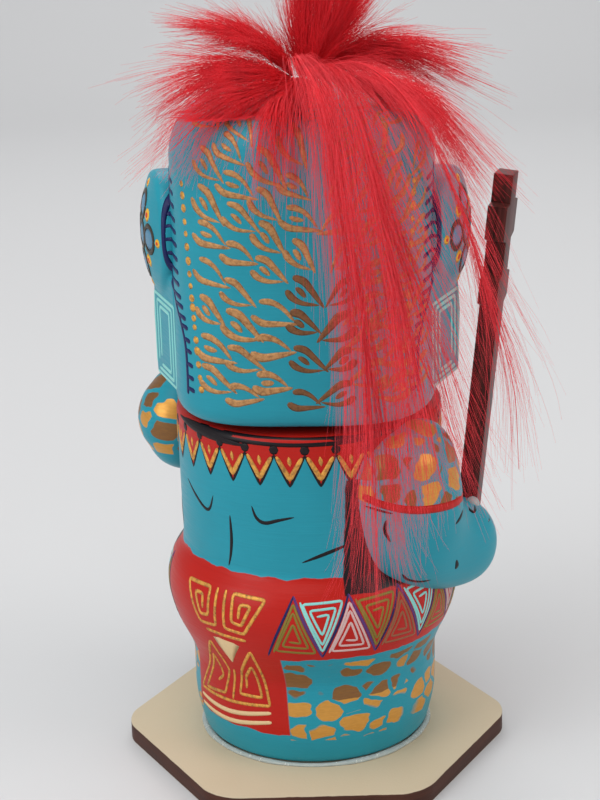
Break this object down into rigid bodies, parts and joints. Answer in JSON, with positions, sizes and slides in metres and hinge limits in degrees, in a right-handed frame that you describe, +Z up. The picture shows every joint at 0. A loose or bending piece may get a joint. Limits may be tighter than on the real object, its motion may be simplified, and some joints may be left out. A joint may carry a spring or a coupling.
{
  "type": "painted folk-art warrior figure",
  "caption": "Hand-painted warrior figure with a turning helmeted head, a red feather crest and a stepped wooden club, standing on a hexagonal board.",
  "frame": {"origin": "centre of the board's underside, on the surface it stands on", "axes": "+Z up along the figure's vertical axis; -Y is the way the head looks at rest; +X is the head's left side"},
  "size_m": [0.0632, 0.0656, 0.1285],
  "materials": {
    "painted_casting": "satin acrylic paint",
    "face_paint": "satin acrylic paint",
    "board": "cream paint with scorched edges",
    "club_wood": "dark stain",
    "peg_wood": "bare wood",
    "clear_glue": "dried glue",
    "binding_thread": "thread wrap",
    "red_feather": "dyed feather"
  },
  "bodies": {
    "figure": {"base_plate": "board", "foot_glue": "clear_glue", "body": "painted_casting", "right_arm": "painted_casting", "left_arm": "painted_casting", "neck_dowel": "peg_wood", "club": "club_wood", "club_glue": "clear_glue"},
    "head": {"head_shell": "painted_casting", "face": "face_paint", "left_ear_flare": "painted_casting", "right_ear_flare": "painted_casting", "feather_binding": "binding_thread", "feather_upright_tall": "red_feather", "feather_upright_right": "red_feather", "feather_left_high": "red_feather", "feather_left_middle": "red_feather", "feather_left_low": "red_feather", "feather_right_high": "red_feather", "feather_right_low": "red_feather", "feather_crown_back": "red_feather", "plume_main": "red_feather", "plume_long": "red_feather", "plume_right_tail": "red_feather"}
  },
  "joints": [
    {"name": "head_turn", "type": "hinge", "parent": "figure", "child": "head", "pos_m": [0, 0, 0.0585], "axis": [0, 0, 1], "range_deg": [-90, 10]}
  ]
}
